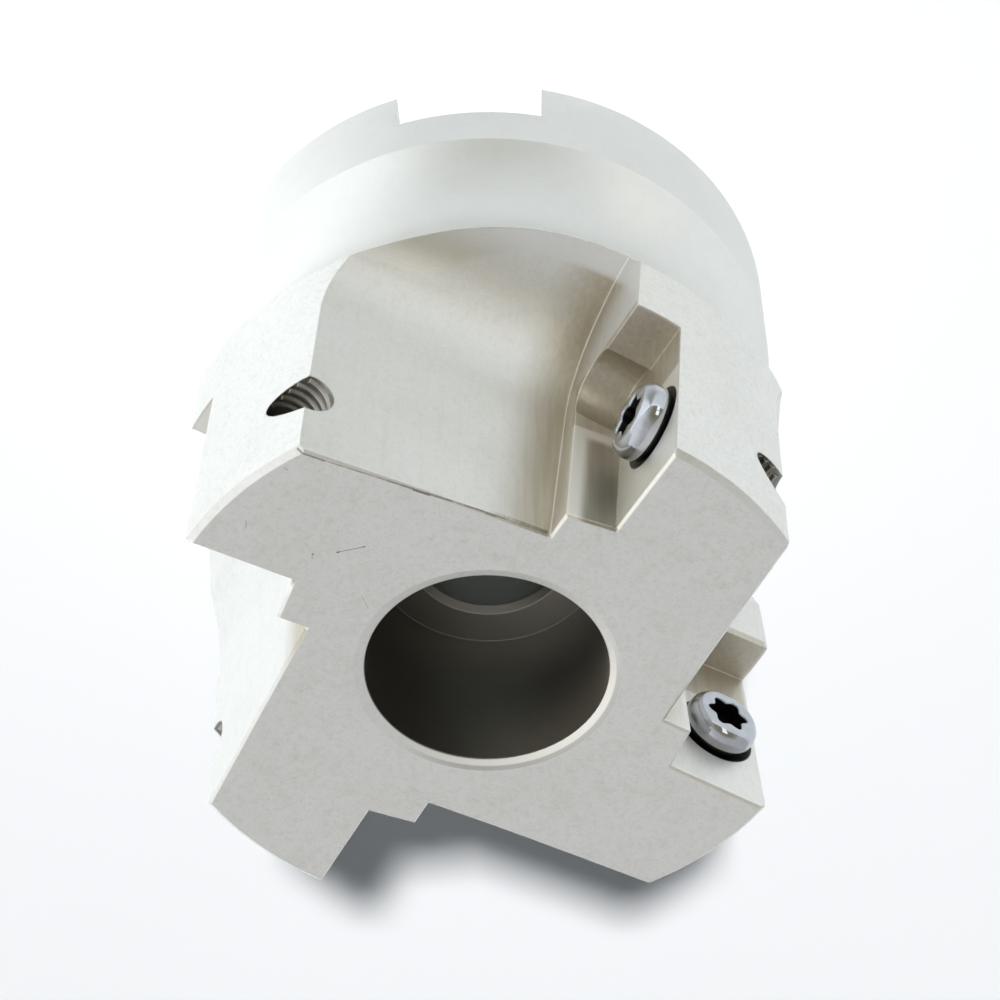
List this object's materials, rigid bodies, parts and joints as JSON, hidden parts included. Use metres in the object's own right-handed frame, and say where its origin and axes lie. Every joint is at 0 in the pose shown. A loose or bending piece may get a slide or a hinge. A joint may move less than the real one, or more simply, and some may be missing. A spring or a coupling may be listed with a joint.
{
  "type": "indexable face mill",
  "caption": "Shell-type milling cutter body with raked, screw-fitted insert pockets and chip flutes round a stepped, chamfered arbor bore, a waisted neck and a slotted driving hub.",
  "frame": {"origin": "centre of the hub's back face, on the tool axis, where the cutter stands on its end", "axes": "+Z along the tool axis towards the cutting face; X along the drive slot; tooth 1's seat runs out from the axis at -33.1 degrees from +X"},
  "size_m": [0.045, 0.045, 0.045],
  "materials": {
    "body_steel": "matte nickel-plated",
    "screw_steel": "dark, polished"
  },
  "bodies": {
    "root": {"cutter_body": "body_steel", "insert_screw_1": "screw_steel", "insert_screw_2": "screw_steel", "insert_screw_3": "screw_steel", "insert_screw_4": "screw_steel"}
  },
  "joints": []
}
